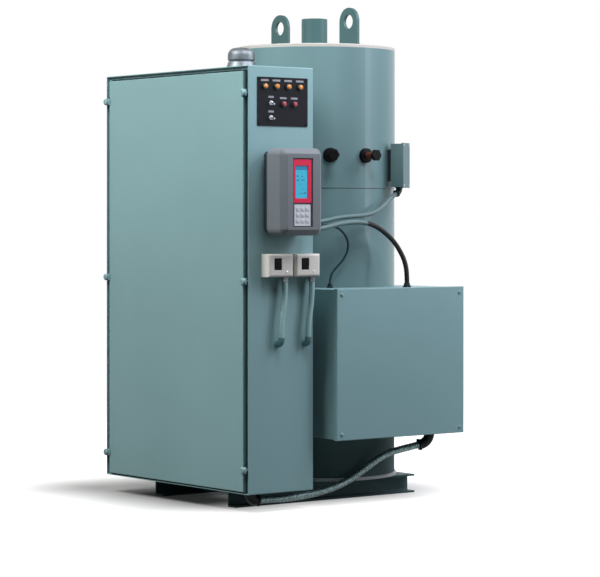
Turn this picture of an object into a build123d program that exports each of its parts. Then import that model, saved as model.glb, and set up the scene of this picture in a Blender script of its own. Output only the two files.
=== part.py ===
"""Vertical electric boiler on a skid: control cabinet in front, jacketed vessel behind it.

Millimetres. +X is to the right of the cabinet's front, +Y runs back to the vessel, +Z is up.
The origin lies on the floor under the middle of the whole object.
"""
import os
from math import cos, pi, radians, sin, tan

from build123d import *

# Skid
rail_height = 70.0
rail_flange = 48.0
rail_web = 6.0
rail_lip = 7.0
rail_fillet = 3.5
rail_length = 850.0
rail_setback = 90.0
rail_spacing = 468.0
cross_width = 40.0
cross_wall = 6.0
cross_height = 50.0
cross_pitch = 420.0

# Control cabinet
cabinet_width = 914.0
cabinet_depth = 290.0
cabinet_height = 1524.0
cabinet_wall = 3.0
trough_gap = 22.0
head_gap = 16.0
foot_gap = 5.0
trough_depth = 14.0
lip_width = 24.0
cover_proud = 5.0
cover_wall = 3.0
cover_edge = 3.0

# Cover clamps
clamp_from_floor = 87.0
clamp_from_roof = 97.0
clamp_height = 24.0
clamp_corner = 5.0
clamp_finger = 5.0
clamp_bite = 8.0
clamp_stud = 5.0
clamp_knob = 13.0
clamp_knob_height = 10.0
clamp_knob_round = 6.0

# Supply hub on the cabinet roof
hub_from_side = 247.0
hub_setback = 150.0
hub_radius = 50.0
hub_foot_radius = 58.0
hub_base_height = 30.0
hub_neck_radius = 44.0
hub_neck_height = 4.0
hub_cap_height = 48.0
hub_cap_round = 20.0

# Vessel
vessel_setback = 654.0
jacket_radius = 308.0
jacket_wall = 51.0
jacket_lap = 1.5
seam_height = 1165.0
jacket_top = 1692.0
base_radius = 316.0
base_thick = 12.0
base_edge = 3.0
top_plate = 13.0
top_plate_edge = 3.0
nozzle_radius = 50.0
nozzle_bore = 41.0
nozzle_height = 113.0
nozzle_chamfer = 2.0

# Lifting lugs
lug_offset = 215.0
lug_half_width = 53.0
lug_thickness = 12.0
lug_hole = 27.0
lug_eye_height = 90.0

# Level probes and junction box on the vessel
fitting_gap = 0.3
probe_angles = {"level_probe_front": -27.0, "level_probe_side": 0.0}
probe_height = 1287.0
probe_bush_radius = 30.0
probe_bush = 14.0
probe_nipple_radius = 13.0
probe_nipple = 44.0
probe_cap_radius = 23.0
probe_cap = 14.0
junction_angle = 29.0
junction_z = 1170.0
junction_width = 62.0
junction_height = 164.0
junction_depth = 44.0
junction_standoff = 18.0
junction_bracket_width = 36.0
junction_bracket_height = 120.0
junction_lid = 8.0
junction_lid_edge = 3.0

# Heating element housing
element_front = 520.0
element_back = 150.0
element_width = 608.0
element_height = 549.0
element_z = 247.0
element_wall = 3.0
element_lip = 22.0
lid_wall = 3.0
lid_skirt = 16.0
lid_gap = 0.5
lid_round = 2.5

# Controller on the cabinet side, measured back from the collar and down from the cabinet roof
controller_back = 60.0
controller_drop = 294.0
controller_width = 185.0
controller_height = 310.0
controller_base = 30.0
controller_base_inset = 10.0
controller_depth = 125.0
controller_corner = 26.0
controller_bevel = 20.0
window_left = 45.0
window_width = 88.0
window_z = 30.0
window_height = 244.0
window_depth = 8.0
bezel_width = 80.0
bezel_height = 154.0
bezel_left = 9.0
bezel_right = 16.0
bezel_top = 22.0
bezel_bottom = 16.0
bezel_thick = 5.0
screen_thick = 3.0
keypad_width = 72.0
keypad_height = 76.0
keypad_thick = 4.0
window_margin = 4.0

# Indicator panel
panel_back = 39.0
panel_drop = 39.0
panel_width = 225.0
panel_height = 174.0
panel_thick = 3.0
panel_corner = 3.0
lamp_radius = 11.0
lamp_bezel = 5.0
lamp_bezel_edge = 1.0
lens_radius = 8.6
lamp_height = 13.0
lamp_round = 4.0
amber_first = 31.0
amber_pitch = 52.5
amber_count = 4
amber_z = 141.0
red_first = 114.0
red_pitch = 49.0
red_count = 2
red_z = 79.0
switch_u = 59.5
switch_heights = (82.0, 30.0)
switch_radius = 10.0
switch_collar = 6.0
switch_lever = 22.0
switch_lever_radius = 4.5

# Limit controls
limit_backs = {"limit_control_front": 57.0, "limit_control_rear": 179.0}
limit_drop = 66.0
limit_width = 110.0
limit_height = 82.0
limit_depth = 46.0
limit_round = 9.0
dial_left = 24.0
dial_z = 25.0
dial_width = 34.0
dial_height = 42.0
dial_recess = 4.0
dial_thick = 2.0
conduit_left = 88.0
conduit_off = 24.0
conduit_radius = 10.0
connector_hex = 15.5
connector_seat = 6.0
connector_radius = 13.5
connector_length = 18.0
connector_end = 11.0
elbow_drop = 240.0
elbow_shift = 16.0
elbow_radius = 12.5
elbow_bend = 18.0
elbow_stub = 6.0

# Leads between the cabinet, the vessel and the element housing
gland_radius = 12.0
small_gland_radius = 9.0
gland_length = 16.0
gland_seat = 6.0
gland_hex = 1.34
gland_round = 2.5
junction_lead_radius = 8.5
element_lead_radius = 9.0
sensor_lead_radius = 4.5
junction_lead_start = (-66.0, 968.0)
element_lead_start = (-46.0, 942.0)
sensor_lead_start = (-96.0, 950.0)
element_gland_from_front = 105.0
element_gland_from_axis = 116.0
sensor_gland_angle = -28.2
sensor_gland_off = 35.0
junction_heading = (0.16, -0.99, 0.0)
junction_elbow_bend = 18.0
junction_elbow_turn = 62.0
junction_elbow_stub = 5.0
supply_radius = 14.0
supply_fitting_radius = 19.0
supply_bend = 42.0
supply_stub = 8.0
supply_from_front = 95.0
supply_from_axis = 218.0
supply_turn = 78.0
supply_heading = (-0.34, -0.94, 0.0)
supply_end = (-98.0, 78.0)
entry_bend = 30.0
entry_stub = 4.0

# Places worked out from the sizes above
front_reach = cover_proud + clamp_finger + clamp_knob_height
cabinet_x = -controller_depth / 2
side_x = cabinet_x + cabinet_width / 2
collar_y = (front_reach - vessel_setback - base_radius) / 2
vessel_y = collar_y + vessel_setback
cabinet_z = rail_height
jacket_bottom = rail_height + base_thick
upper_radius = jacket_radius + jacket_lap
plate_top = jacket_top + top_plate
panel_z = cabinet_height - panel_drop - panel_height
controller_z = cabinet_height - controller_drop - controller_height
limit_z = controller_z - limit_drop - limit_height
elbow_z = limit_z - elbow_drop

UP = (0, 0, 1)
DOWN = (0, 0, -1)
OUT = (1, 0, 0)
BACK = (0, 1, 0)

os.makedirs("parts", exist_ok=True)


def save(piece, name):
    piece.label = name
    export_step(piece, f"parts/{name}.step")


def on_side(back, up, off=0.0):
    """Plane on the cabinet's right side: x runs back from the collar, y up, z out of the wall."""
    return Plane(origin=(side_x + off, collar_y + back, cabinet_z + up), x_dir=(0, 1, 0), z_dir=(1, 0, 0))


def around_vessel(angle, height, reach):
    """Plane facing out of the vessel at an angle from +X, at a distance from its axis."""
    out = (cos(radians(angle)), sin(radians(angle)))
    middle = (cabinet_x + reach * out[0], vessel_y + reach * out[1], height)
    return Plane(origin=middle, x_dir=(-out[1], out[0], 0), z_dir=(out[0], out[1], 0))


def beside_axis(out, back, height):
    """A point on the element housing, given from the vessel's axis, in the shared frame."""
    return Vector(cabinet_x + out, vessel_y + back, height)


def place(point):
    """A point given from the cabinet's side wall, its collar and its floor, in the shared frame."""
    return Vector(side_x + point[0], collar_y + point[1], cabinet_z + point[2])


def tube(points, radius, name):
    """A round lead along straight runs, each corner rounded as far as its shorter run allows."""
    corners = []
    for before, here, after in zip(points, points[1:], points[2:]):
        turn = (here - before).get_angle(after - here)
        shorter = min((here - before).length, (after - here).length)
        corners.append(0.45 * shorter / tan(radians(turn) / 2))
    with BuildPart() as lead:
        with BuildLine() as path:
            FilletPolyline(*points, radius=corners)
        with BuildSketch(Plane(origin=points[0], z_dir=points[1] - points[0])):
            Circle(radius)
        sweep(path=path.wire())
    length = path.wire().length
    share = lead.part.volume / (pi * radius**2 * length)
    print(f"{name}: length {length:.0f}, volume share {share:.4f}")
    print("  corner radii", [round(corner) for corner in corners])
    save(lead.part, name)


def elbow(start, first, heading, bend, turn, stub, radius):
    """A bent fitting from start along first, turning towards heading; its solid, mouth and way out."""
    first = Vector(first)
    across = Vector(heading).normalized()
    begin = Vector(start) + first * stub
    centre = begin + across * bend

    def on_arc(angle):
        return centre + (first * sin(radians(angle)) - across * cos(radians(angle))) * bend

    way = first * cos(radians(turn)) + across * sin(radians(turn))
    mouth = on_arc(turn) + way * stub
    with BuildPart() as fitting:
        with BuildLine() as path:
            Line(start, begin)
            ThreePointArc(begin, on_arc(turn / 2), on_arc(turn))
            Line(on_arc(turn), mouth)
        with BuildSketch(Plane(origin=start, z_dir=first)):
            Circle(radius)
        sweep(path=path.wire())
    return fitting.part, mouth, way


def gland(seat, radius):
    """A cable gland on a plane: a hexagon against the sheet and a domed nut round the lead."""
    with BuildPart() as fitting:
        with BuildSketch(seat):
            RegularPolygon(gland_hex * radius, 6)
        extrude(amount=gland_seat)
        with BuildSketch(seat.offset(gland_seat)):
            Circle(radius)
        extrude(amount=gland_length - gland_seat)
        fillet(fitting.faces().sort_by(Axis(seat.origin, seat.z_dir))[-1].edges(), gland_round)
    return fitting.part


# Skid rails: channels laid with their webs to the left
for rail_name, rail_side in (("skid_rail_left", -1), ("skid_rail_right", 1)):
    rail_x = cabinet_x + rail_side * rail_spacing / 2 - rail_flange / 2
    with BuildPart() as rail:
        with BuildSketch(Plane.XZ.offset(-(collar_y + rail_setback))):
            with Locations((rail_x, 0)):
                Rectangle(rail_flange, rail_height, align=(Align.MIN, Align.MIN))
            with Locations((rail_x + rail_web, rail_lip)):
                Rectangle(
                    rail_flange - rail_web,
                    rail_height - 2 * rail_lip,
                    align=(Align.MIN, Align.MIN),
                    mode=Mode.SUBTRACT,
                )
        extrude(amount=-rail_length)
        fillet(rail.edges().filter_by(Axis.Y).group_by(Axis.X)[1], rail_fillet)
    save(rail.part, rail_name)

# Cross members: channels between the two rails under the vessel, the last flush with the rails' ends
rail_end = collar_y + rail_setback + rail_length
cross_left = cabinet_x - rail_spacing / 2 + rail_flange / 2
cross_right = cabinet_x + rail_spacing / 2 - rail_flange / 2
with BuildPart() as cross:
    for step in (0, 1):
        cross_y = rail_end - cross_width - step * cross_pitch
        with BuildSketch(Plane.YZ.offset(cross_left)):
            with Locations((cross_y, rail_height)):
                Rectangle(cross_width, cross_height, align=(Align.MIN, Align.MAX))
            with Locations((cross_y + cross_wall, rail_height - cross_wall)):
                Rectangle(
                    cross_width - cross_wall,
                    cross_height - 2 * cross_wall,
                    align=(Align.MIN, Align.MAX),
                    mode=Mode.SUBTRACT,
                )
        extrude(amount=cross_right - cross_left)
save(cross.part, "cross_members")

# Cabinet body: folded sheet with a trough round the opening and a lip that the cover closes on
opening_inset = cabinet_wall + trough_gap + lip_width
opening_low = cabinet_z + cabinet_wall + foot_gap + lip_width
opening_high = cabinet_z + cabinet_height - cabinet_wall - head_gap - lip_width
with BuildPart() as cabinet:
    with BuildSketch(Plane.XZ.offset(-collar_y)):
        with Locations((cabinet_x, cabinet_z)):
            Rectangle(cabinet_width, cabinet_height, align=(Align.CENTER, Align.MIN))
    extrude(amount=-cabinet_depth)
    fillet(cabinet.edges().filter_by(Axis.Y), cabinet_wall)
    with BuildSketch(Plane.XZ.offset(-collar_y)):
        with Locations((cabinet_x, cabinet_z + cabinet_height / 2)):
            Rectangle(cabinet_width - 2 * cabinet_wall, cabinet_height - 2 * cabinet_wall)
    extrude(amount=-trough_depth, mode=Mode.SUBTRACT)
    with BuildSketch(Plane.XZ.offset(-collar_y - trough_depth)):
        with Locations((cabinet_x, (opening_low + opening_high) / 2)):
            Rectangle(cabinet_width - 2 * opening_inset, opening_high - opening_low)
    extrude(amount=-cabinet_wall, mode=Mode.SUBTRACT)
    with BuildSketch(Plane.XZ.offset(-collar_y - trough_depth - cabinet_wall)):
        with Locations((cabinet_x, cabinet_z + cabinet_height / 2)):
            Rectangle(cabinet_width - 2 * cabinet_wall, cabinet_height - 2 * cabinet_wall)
    extrude(amount=-(cabinet_depth - trough_depth - 2 * cabinet_wall), mode=Mode.SUBTRACT)
save(cabinet.part, "cabinet_body")

# Cabinet cover: a shallow pan whose rim closes on the lip, held by clamps along both sides
cover_inset = cabinet_wall + trough_gap
cover_width = cabinet_width - 2 * cover_inset
cover_low = cabinet_z + cabinet_wall + foot_gap
cover_high = cabinet_z + cabinet_height - cabinet_wall - head_gap
cover_height = cover_high - cover_low
cover_middle = (cover_low + cover_high) / 2
with BuildPart() as cover:
    with BuildSketch(Plane.XZ.offset(-collar_y + cover_proud)):
        with Locations((cabinet_x, cover_middle)):
            Rectangle(cover_width, cover_height)
    extrude(amount=-(cover_proud + trough_depth))
    fillet(cover.faces().sort_by(Axis.Y)[0].edges(), cover_edge)
    with BuildSketch(Plane.XZ.offset(-collar_y + cover_proud - cover_wall)):
        with Locations((cabinet_x, cover_middle)):
            Rectangle(cover_width - 2 * cover_wall, cover_height - 2 * cover_wall)
    extrude(amount=-(cover_proud + trough_depth - cover_wall), mode=Mode.SUBTRACT)
save(cover.part, "cabinet_cover")

# Cover clamps: a stud in the trough, a finger over the cover's edge and a round knob
clamp_low = clamp_from_floor
clamp_high = cabinet_height - clamp_from_roof
clamp_heights = (clamp_low, (clamp_low + clamp_high) / 2, clamp_high)
face_y = collar_y - cover_proud
for clamp_name, clamp_side in (("cover_clamps_left", -1), ("cover_clamps_right", 1)):
    stud_x = cabinet_x + clamp_side * (cabinet_width / 2 - cabinet_wall - trough_gap / 2)
    finger_x = stud_x - clamp_side * clamp_bite / 2
    with BuildPart() as clamps:
        for clamp_up in clamp_heights:
            with BuildSketch(Plane.XZ.offset(-face_y)):
                with Locations((finger_x, cabinet_z + clamp_up)):
                    RectangleRounded(trough_gap + clamp_bite, clamp_height, clamp_corner)
            extrude(amount=clamp_finger)
            with BuildSketch(Plane.XZ.offset(-face_y)):
                with Locations((stud_x, cabinet_z + clamp_up)):
                    Circle(clamp_stud)
            extrude(amount=-cover_proud - trough_depth)
            with BuildSketch(Plane.XZ.offset(-face_y + clamp_finger)):
                with Locations((stud_x, cabinet_z + clamp_up)):
                    Circle(clamp_knob)
            extrude(amount=clamp_knob_height)
        fillet(clamps.faces().filter_by(Plane.XZ).group_by(Axis.Y)[0].edges(), clamp_knob_round)
    save(clamps.part, clamp_name)

# Supply hub: a flanged round boss on the roof with a domed blanking cap
hub_x = side_x - hub_from_side
hub_y = collar_y + hub_setback
roof = cabinet_z + cabinet_height
with BuildPart() as hub:
    with BuildSketch(Plane.XY.offset(roof)):
        with Locations((hub_x, hub_y)):
            Circle(hub_foot_radius)
    with BuildSketch(Plane.XY.offset(roof + hub_base_height)):
        with Locations((hub_x, hub_y)):
            Circle(hub_radius)
    loft()
save(hub.part, "supply_hub")
with BuildPart() as hub_cap:
    with BuildSketch(Plane.XY.offset(roof + hub_base_height)):
        with Locations((hub_x, hub_y)):
            Circle(hub_neck_radius)
    extrude(amount=hub_neck_height)
    with BuildSketch(Plane.XY.offset(roof + hub_base_height + hub_neck_height)):
        with Locations((hub_x, hub_y)):
            Circle(hub_radius)
    extrude(amount=hub_cap_height)
    fillet(hub_cap.faces().sort_by(Axis.Z)[-1].edges(), hub_cap_round)
save(hub_cap.part, "supply_hub_cap")

# Base plate that carries the vessel on the rails
with BuildPart() as base_plate:
    with BuildSketch(Plane.XY.offset(rail_height)):
        with Locations((cabinet_x, vessel_y)):
            Circle(base_radius)
    extrude(amount=base_thick)
    chamfer(base_plate.faces().sort_by(Axis.Z)[-1].edges(), base_edge)
save(base_plate.part, "vessel_base_plate")

# Insulated jacket in two courses, the upper one lapped over the lower
for course, low, high, outside in (
    ("jacket_lower", jacket_bottom, seam_height, jacket_radius),
    ("jacket_upper", seam_height, jacket_top, upper_radius),
):
    with BuildPart() as jacket:
        with BuildSketch(Plane.XY.offset(low)):
            with Locations((cabinet_x, vessel_y)):
                Circle(outside)
                Circle(jacket_radius - jacket_wall, mode=Mode.SUBTRACT)
        extrude(amount=high - low)
    save(jacket.part, course)

# Top plate with the outlet hole
with BuildPart() as lid_plate:
    with BuildSketch(Plane.XY.offset(jacket_top)):
        with Locations((cabinet_x, vessel_y)):
            Circle(upper_radius)
    extrude(amount=top_plate)
    chamfer(lid_plate.faces().sort_by(Axis.Z)[-1].edges(), top_plate_edge)
    with Locations((cabinet_x, vessel_y, plate_top)):
        Hole(nozzle_bore)
save(lid_plate.part, "vessel_top_plate")

# Outlet nozzle on the axis
with BuildPart() as nozzle:
    with BuildSketch(Plane.XY.offset(plate_top)):
        with Locations((cabinet_x, vessel_y)):
            Circle(nozzle_radius)
            Circle(nozzle_bore, mode=Mode.SUBTRACT)
    extrude(amount=nozzle_height)
    chamfer(nozzle.edges().group_by(Axis.Z)[-1].sort_by(SortBy.RADIUS)[-1], nozzle_chamfer)
save(nozzle.part, "outlet_nozzle")

# Lifting lugs: upright plates with a round head about the eye
for lug_name, lug_side in (("lifting_lug_left", -1), ("lifting_lug_right", 1)):
    with BuildPart() as lug:
        with BuildSketch(Plane.XZ.offset(-vessel_y - lug_thickness / 2)):
            with Locations((cabinet_x + lug_side * lug_offset, plate_top)):
                Rectangle(2 * lug_half_width, lug_eye_height, align=(Align.CENTER, Align.MIN))
            with Locations((cabinet_x + lug_side * lug_offset, plate_top + lug_eye_height)):
                Circle(lug_half_width)
                Circle(lug_hole, mode=Mode.SUBTRACT)
        extrude(amount=lug_thickness)
    save(lug.part, lug_name)


def coped_boss(outer, sketch_plane, reach, radius):
    """Round boss from inside the jacket's skin out to a reach, cut to sit on the skin."""
    with BuildPart() as boss:
        with BuildSketch(sketch_plane):
            Circle(radius)
        extrude(amount=reach)
        with Locations((cabinet_x, vessel_y, sketch_plane.origin.Z)):
            Cylinder(outer + fitting_gap, 4 * radius, mode=Mode.SUBTRACT)
    return boss.part


# Level probes: a bush on the jacket, a nipple and a head
for probe_name, probe_angle in probe_angles.items():
    root = around_vessel(probe_angle, probe_height, upper_radius - probe_bush)
    face = around_vessel(probe_angle, probe_height, upper_radius + probe_bush)
    with BuildPart() as probe:
        add(coped_boss(upper_radius, root, 2 * probe_bush, probe_bush_radius))
        with BuildSketch(face):
            Circle(probe_nipple_radius)
        extrude(amount=probe_nipple)
        with BuildSketch(face.offset(probe_nipple)):
            RegularPolygon(probe_cap_radius, 6)
        extrude(amount=probe_cap)
    save(probe.part, probe_name)

# Junction box on a bracket that follows the jacket
bracket_middle = junction_z + junction_height / 2
bracket_root = around_vessel(junction_angle, bracket_middle, upper_radius - junction_standoff)
with BuildPart() as bracket:
    with BuildSketch(bracket_root):
        Rectangle(junction_bracket_width, junction_bracket_height)
    extrude(amount=2 * junction_standoff)
    with Locations((cabinet_x, vessel_y, bracket_middle)):
        Cylinder(upper_radius + fitting_gap, 2 * junction_height, mode=Mode.SUBTRACT)
save(bracket.part, "junction_bracket")
junction_face = around_vessel(junction_angle, bracket_middle, upper_radius + junction_standoff)
with BuildPart() as junction:
    with BuildSketch(junction_face):
        Rectangle(junction_width, junction_height)
    extrude(amount=junction_depth)
save(junction.part, "junction_box")
with BuildPart() as junction_cover:
    with BuildSketch(junction_face.offset(junction_depth)):
        Rectangle(junction_width + 2 * junction_lid_edge, junction_height + 2 * junction_lid_edge)
    extrude(amount=junction_lid)
    fillet(junction_cover.faces().sort_by(SortBy.DISTANCE)[-1].edges(), junction_lid_edge / 2)
save(junction_cover.part, "junction_cover")

# Element housing: a box coped round the vessel, with a lip for the lid's screws
body_width = element_width - 2 * (lid_wall + lid_gap)
body_height = element_height - 2 * (lid_wall + lid_gap)
element_middle = element_z + element_height / 2
with BuildPart() as element:
    with BuildSketch(Plane.YZ.offset(cabinet_x + element_back)):
        with Locations((vessel_y, element_middle)):
            Rectangle(body_width, body_height)
    extrude(amount=element_front - element_back)
    with BuildSketch(Plane.YZ.offset(cabinet_x + element_back + element_wall)):
        with Locations((vessel_y, element_middle)):
            Rectangle(body_width - 2 * element_wall, body_height - 2 * element_wall)
    extrude(amount=element_front - element_back - 2 * element_wall, mode=Mode.SUBTRACT)
    with BuildSketch(Plane.YZ.offset(cabinet_x + element_front - element_wall)):
        with Locations((vessel_y, element_middle)):
            Rectangle(body_width - 2 * element_lip, body_height - 2 * element_lip)
    extrude(amount=element_wall, mode=Mode.SUBTRACT)
    with Locations((cabinet_x, vessel_y, element_middle)):
        Cylinder(jacket_radius + fitting_gap, 2 * element_height, mode=Mode.SUBTRACT)
save(element.part, "element_housing")
with BuildPart() as lid:
    with BuildSketch(Plane.YZ.offset(cabinet_x + element_front + lid_wall)):
        with Locations((vessel_y, element_middle)):
            Rectangle(element_width, element_height)
    extrude(amount=-lid_wall - lid_skirt)
    fillet(lid.faces().sort_by(Axis.X)[-1].edges(), lid_round)
    with BuildSketch(Plane.YZ.offset(cabinet_x + element_front)):
        with Locations((vessel_y, element_middle)):
            Rectangle(element_width - 2 * lid_wall, element_height - 2 * lid_wall)
    extrude(amount=-lid_skirt, mode=Mode.SUBTRACT)
save(lid.part, "element_lid")

# Controller: wall base, rounded case with a sunk window, bezel, screen and keypad
controller_plane = on_side(controller_back, controller_z)
with BuildPart() as base:
    with BuildSketch(controller_plane):
        with Locations((controller_width / 2, controller_height / 2)):
            RectangleRounded(
                controller_width - 2 * controller_base_inset,
                controller_height - 2 * controller_base_inset,
                controller_corner - controller_base_inset,
            )
    extrude(amount=controller_base)
save(base.part, "controller_base")
with BuildPart() as case:
    with BuildSketch(controller_plane.offset(controller_base)):
        with Locations((controller_width / 2, controller_height / 2)):
            RectangleRounded(controller_width, controller_height, controller_corner)
    extrude(amount=controller_depth - controller_base)
    chamfer(case.faces().sort_by(Axis.X)[-1].edges(), controller_bevel)
    with BuildSketch(controller_plane.offset(controller_depth)):
        with Locations((window_left, window_z)):
            Rectangle(window_width, window_height, align=(Align.MIN, Align.MIN))
    extrude(amount=-window_depth, mode=Mode.SUBTRACT)
save(case.part, "controller_case")
window_floor = on_side(
    controller_back + window_left, controller_z + window_z, controller_depth - window_depth
)
bezel_x = window_width / 2
bezel_y = window_height - window_margin - bezel_height / 2
screen_x = bezel_x + (bezel_left - bezel_right) / 2
screen_y = bezel_y + (bezel_bottom - bezel_top) / 2
screen_width = bezel_width - bezel_left - bezel_right
screen_height = bezel_height - bezel_bottom - bezel_top
with BuildPart() as bezel:
    with BuildSketch(window_floor):
        with Locations((bezel_x, bezel_y)):
            Rectangle(bezel_width, bezel_height)
        with Locations((screen_x, screen_y)):
            Rectangle(screen_width, screen_height, mode=Mode.SUBTRACT)
    extrude(amount=bezel_thick)
save(bezel.part, "controller_bezel")
with BuildPart() as screen:
    with BuildSketch(window_floor):
        with Locations((screen_x, screen_y)):
            Rectangle(screen_width, screen_height)
    extrude(amount=screen_thick)
save(screen.part, "controller_screen")
with BuildPart() as keypad:
    with BuildSketch(window_floor):
        with Locations((bezel_x, window_margin + keypad_height / 2)):
            Rectangle(keypad_width, keypad_height)
    extrude(amount=keypad_thick)
save(keypad.part, "controller_keypad")

# Indicator panel with lamps and toggle switches
panel_plane = on_side(panel_back, panel_z)
panel_face = panel_plane.offset(panel_thick)
with BuildPart() as panel:
    with BuildSketch(panel_plane):
        with Locations((panel_width / 2, panel_height / 2)):
            RectangleRounded(panel_width, panel_height, panel_corner)
    extrude(amount=panel_thick)
save(panel.part, "panel_plate")
for lamps_name, first, pitch, count, row in (
    ("panel_lamps_amber", amber_first, amber_pitch, amber_count, amber_z),
    ("panel_lamps_red", red_first, red_pitch, red_count, red_z),
):
    with BuildPart() as lamps:
        lamp_places = [(first + pitch * step, row) for step in range(count)]
        with BuildSketch(panel_face):
            with Locations(*lamp_places):
                Circle(lamp_radius)
        extrude(amount=lamp_bezel)
        chamfer(lamps.faces().filter_by(Plane.YZ).group_by(Axis.X)[-1].edges(), lamp_bezel_edge)
        with BuildSketch(panel_face.offset(lamp_bezel)):
            with Locations(*lamp_places):
                Circle(lens_radius)
        extrude(amount=lamp_height - lamp_bezel)
        fillet(lamps.faces().filter_by(Plane.YZ).group_by(Axis.X)[-1].edges(), lamp_round)
    save(lamps.part, lamps_name)
with BuildPart() as switches:
    with BuildSketch(panel_face):
        with Locations(*[(switch_u, row) for row in switch_heights]):
            RegularPolygon(switch_radius, 6)
    extrude(amount=switch_collar)
    with BuildSketch(panel_face.offset(switch_collar)):
        with Locations(*[(switch_u, row) for row in switch_heights]):
            Circle(switch_lever_radius)
    extrude(amount=switch_lever - switch_collar)
save(switches.part, "panel_switches")

# Limit controls with their dials, and the flexible conduits from them into the cabinet wall
for limit_name, limit_back in limit_backs.items():
    limit_plane = on_side(limit_back, limit_z)
    with BuildPart() as limit:
        with BuildSketch(limit_plane):
            Rectangle(limit_width, limit_height, align=(Align.MIN, Align.MIN))
        extrude(amount=limit_depth)
        fillet(limit.faces().sort_by(Axis.X)[-1].edges(), limit_round)
        with BuildSketch(limit_plane.offset(limit_depth)):
            with Locations((dial_left, dial_z)):
                Rectangle(dial_width, dial_height, align=(Align.MIN, Align.MIN))
        extrude(amount=-dial_recess, mode=Mode.SUBTRACT)
    save(limit.part, limit_name)
with BuildPart() as dials:
    for limit_back in limit_backs.values():
        with BuildSketch(on_side(limit_back + dial_left, limit_z + dial_z, limit_depth - dial_recess)):
            Rectangle(dial_width, dial_height, align=(Align.MIN, Align.MIN))
        extrude(amount=dial_thick)
save(dials.part, "limit_dials")
with BuildPart() as connectors:
    for limit_back in limit_backs.values():
        mouth = place((conduit_off, limit_back + conduit_left, limit_z))
        with BuildSketch(Plane.XY.offset(mouth.Z)):
            with Locations((mouth.X, mouth.Y)):
                RegularPolygon(connector_hex, 6)
        extrude(amount=-connector_seat)
        for drop, size in ((connector_seat, connector_radius), (connector_length, connector_end)):
            with BuildSketch(Plane.XY.offset(mouth.Z - drop)):
                with Locations((mouth.X, mouth.Y)):
                    Circle(size)
        loft()
save(connectors.part, "limit_connectors")
with BuildPart() as elbows:
    for limit_back in limit_backs.values():
        across = limit_back + conduit_left - elbow_shift
        add(elbow(place((0, across, elbow_z)), OUT, UP, elbow_bend, 90, elbow_stub, elbow_radius)[0])
save(elbows.part, "limit_elbows")
for conduit_name, limit_back in zip(("limit_conduit_front", "limit_conduit_rear"), limit_backs.values()):
    high_u = limit_back + conduit_left
    low_u = high_u - elbow_shift
    low_z = elbow_z + elbow_bend + elbow_stub
    tube(
        [
            place((conduit_off, high_u, limit_z - connector_length)),
            place((conduit_off, high_u, limit_z - connector_length - 42)),
            place((conduit_off, high_u - 5, limit_z - connector_length - 94)),
            place((elbow_bend + elbow_stub, low_u, low_z + 50)),
            place((elbow_bend + elbow_stub, low_u, low_z)),
        ],
        conduit_radius,
        conduit_name,
    )

# Glands on the cabinet's back wall for the three leads to the vessel
lead_starts = (junction_lead_start, element_lead_start, sensor_lead_start)
with BuildPart() as glands:
    for (off, up), size in zip(lead_starts, (gland_radius, gland_radius, small_gland_radius)):
        add(gland(Plane(origin=place((off, cabinet_depth, up)), z_dir=BACK), size))
save(glands.part, "cabinet_glands")

# Lead to the junction box, which it enters from below through an elbow
junction_reach = upper_radius + junction_standoff + junction_depth / 2
junction_middle = around_vessel(junction_angle, junction_z, junction_reach)
junction_bend, junction_mouth, junction_way = elbow(
    junction_middle.origin,
    DOWN,
    junction_heading,
    junction_elbow_bend,
    junction_elbow_turn,
    junction_elbow_stub,
    gland_radius,
)
save(junction_bend, "junction_elbow")
tube(
    [
        place((junction_lead_start[0], cabinet_depth + gland_length, junction_lead_start[1])),
        place((junction_lead_start[0], cabinet_depth + gland_length + 40, junction_lead_start[1])),
        place((-72, 400, 971)),
        place((-84, 470, 984)),
        place((-94, 545, 989)),
        place((-103, 610, 992)),
        place((-111, 674, 1003)),
        place((-122, 726, 1030)),
        junction_mouth + junction_way * 42,
        junction_mouth,
    ],
    junction_lead_radius,
    "junction_lead",
)

# Leads down to the element housing, through glands in its roof
housing_roof = element_middle + body_height / 2
element_gland = beside_axis(
    element_front - element_gland_from_front, element_gland_from_axis, housing_roof
)
sensor_gland = around_vessel(
    sensor_gland_angle, housing_roof, jacket_radius + sensor_gland_off
).origin
with BuildPart() as roof_glands:
    for seat, size in ((element_gland, gland_radius), (sensor_gland, small_gland_radius)):
        add(gland(Plane(seat), size))
save(roof_glands.part, "element_glands")
tube(
    [
        place((element_lead_start[0], cabinet_depth + gland_length, element_lead_start[1])),
        place((element_lead_start[0], cabinet_depth + gland_length + 44, element_lead_start[1])),
        place((-56, 410, 951)),
        place((-68, 470, 962)),
        place((-78, 540, 968)),
        place((-84, 600, 966)),
        place((-85, 648, 955)),
        place((-81, 692, 931)),
        place((-75, 733, 896)),
        place((-65, 758, 856)),
        place((-52, 769, 818)),
        element_gland + Vector(UP) * (gland_length + 38),
        element_gland + Vector(UP) * gland_length,
    ],
    element_lead_radius,
    "element_lead",
)
tube(
    [
        place((sensor_lead_start[0], cabinet_depth + gland_length, sensor_lead_start[1])),
        place((sensor_lead_start[0], cabinet_depth + gland_length + 40, sensor_lead_start[1])),
        place((-98, 395, 955)),
        place((-102, 450, 957)),
        place((-110, 503, 943)),
        place((-119, 540, 915)),
        place((-125, 557, 884)),
        place((-131, 554, 852)),
        place((-139, 538, 822)),
        place((-149, 514, 796)),
        sensor_gland + Vector(UP) * (gland_length + 28),
        sensor_gland + Vector(UP) * gland_length,
    ],
    sensor_lead_radius,
    "sensor_lead",
)

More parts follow.
